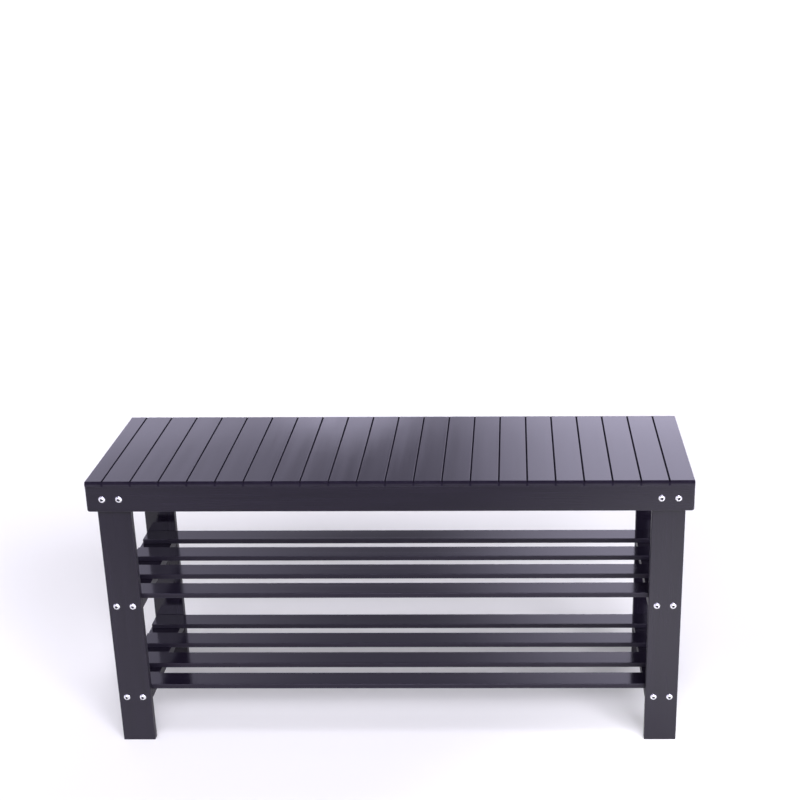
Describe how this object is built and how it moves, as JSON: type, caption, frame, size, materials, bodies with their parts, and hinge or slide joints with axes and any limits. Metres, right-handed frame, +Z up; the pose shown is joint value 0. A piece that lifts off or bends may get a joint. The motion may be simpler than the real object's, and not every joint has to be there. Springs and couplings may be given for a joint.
{
  "type": "entryway bench",
  "caption": "Slatted wooden entryway bench with a grooved seat, board legs bolted through long aprons and open slatted shoe shelves below.",
  "frame": {"origin": "on the floor, under the middle of the bench", "axes": "+X along the seat to the right, +Y from front to back, +Z up"},
  "size_m": [0.9, 0.2858, 0.45],
  "materials": {
    "seat_lacquer": "glossy near-black lacquer over bamboo strips",
    "frame_lacquer": "semi-gloss near-black lacquer over bamboo boards",
    "bolt_zinc": "bright zinc plate",
    "insert_brass": "plain turned brass",
    "screw_steel": "dull steel"
  },
  "bodies": {
    "root": {"seat_slat_01": "seat_lacquer", "seat_slat_02": "seat_lacquer", "seat_slat_03": "seat_lacquer", "seat_slat_04": "seat_lacquer", "seat_slat_05": "seat_lacquer", "seat_slat_06": "seat_lacquer", "seat_slat_07": "seat_lacquer", "seat_slat_08": "seat_lacquer", "seat_slat_09": "seat_lacquer", "seat_slat_10": "seat_lacquer", "seat_slat_11": "seat_lacquer", "seat_slat_12": "seat_lacquer", "seat_slat_13": "seat_lacquer", "seat_slat_14": "seat_lacquer", "seat_slat_15": "seat_lacquer", "seat_slat_16": "seat_lacquer", "seat_slat_17": "seat_lacquer", "seat_slat_18": "seat_lacquer", "seat_slat_19": "seat_lacquer", "seat_slat_20": "seat_lacquer", "seat_slat_21": "seat_lacquer", "seat_slat_22": "seat_lacquer", "front_apron": "frame_lacquer", "rear_apron": "frame_lacquer", "front_left_leg": "frame_lacquer", "front_right_leg": "frame_lacquer", "rear_left_leg": "frame_lacquer", "rear_right_leg": "frame_lacquer", "left_seat_rail": "frame_lacquer", "right_seat_rail": "frame_lacquer", "left_upper_rail": "frame_lacquer", "right_upper_rail": "frame_lacquer", "left_lower_rail": "frame_lacquer", "right_lower_rail": "frame_lacquer", "upper_shelf_slat_1": "frame_lacquer", "upper_shelf_slat_2": "frame_lacquer", "upper_shelf_slat_3": "frame_lacquer", "upper_shelf_slat_4": "frame_lacquer", "lower_shelf_slat_1": "frame_lacquer", "lower_shelf_slat_2": "frame_lacquer", "lower_shelf_slat_3": "frame_lacquer", "lower_shelf_slat_4": "frame_lacquer", "front_seat_batten": "frame_lacquer", "rear_seat_batten": "frame_lacquer", "apron_bolts": "bolt_zinc", "upper_shelf_bolts": "bolt_zinc", "lower_shelf_bolts": "bolt_zinc", "apron_inserts": "insert_brass", "upper_shelf_inserts": "insert_brass", "lower_shelf_inserts": "insert_brass", "seat_screws": "screw_steel", "upper_shelf_screws": "screw_steel", "lower_shelf_screws": "screw_steel"}
  },
  "joints": []
}
